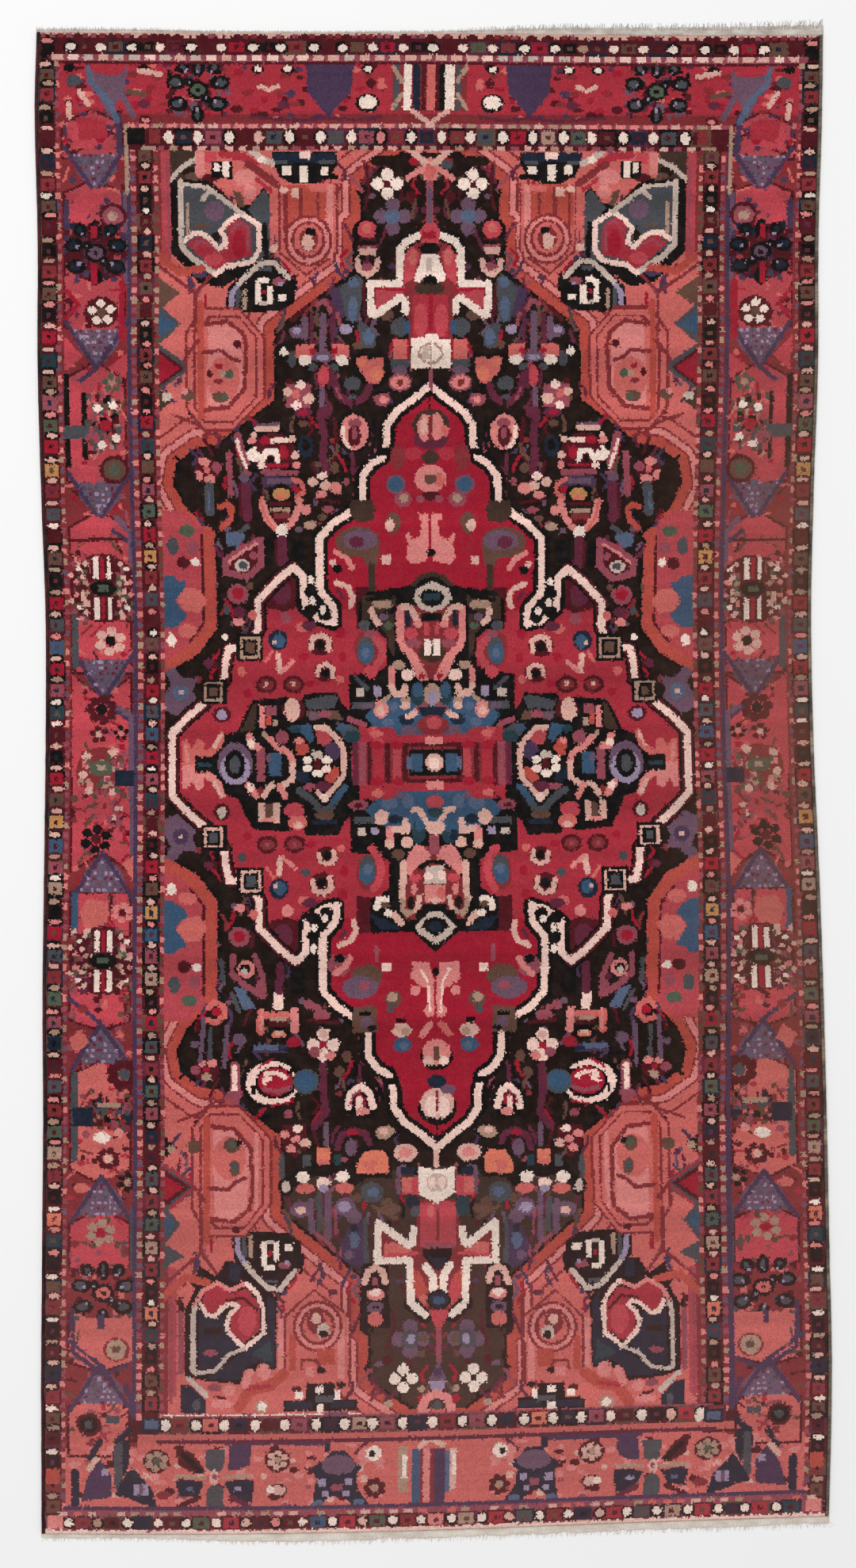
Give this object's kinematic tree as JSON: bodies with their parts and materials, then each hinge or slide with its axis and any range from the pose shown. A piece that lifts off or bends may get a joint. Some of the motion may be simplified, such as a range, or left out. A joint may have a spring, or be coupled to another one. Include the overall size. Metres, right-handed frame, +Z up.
{
  "type": "persian rug",
  "caption": "Hand-knotted wool rug lying flat, with a lozenge medallion, wide border, overcast sides and worn flat-woven ends with a short fringe.",
  "frame": {"origin": "middle of the whole rug, fringes included, on the surface it lies on", "axes": "+X across the rug, +Y along it towards the upper end of the design, +Z up out of the pile"},
  "size_m": [1.6108, 3.0878, 0.0085],
  "materials": {
    "wool_pile": "clipped hand-knotted wool pile, lightly worn",
    "wool_overcast": "wrapped wool yarn",
    "cotton_warp": "undyed cotton plain weave, frayed"
  },
  "bodies": {
    "root": {"rug_pile": "wool_pile", "selvedge_left": "wool_overcast", "selvedge_right": "wool_overcast", "fringed_end_upper": "cotton_warp", "fringed_end_lower": "cotton_warp"}
  },
  "joints": []
}
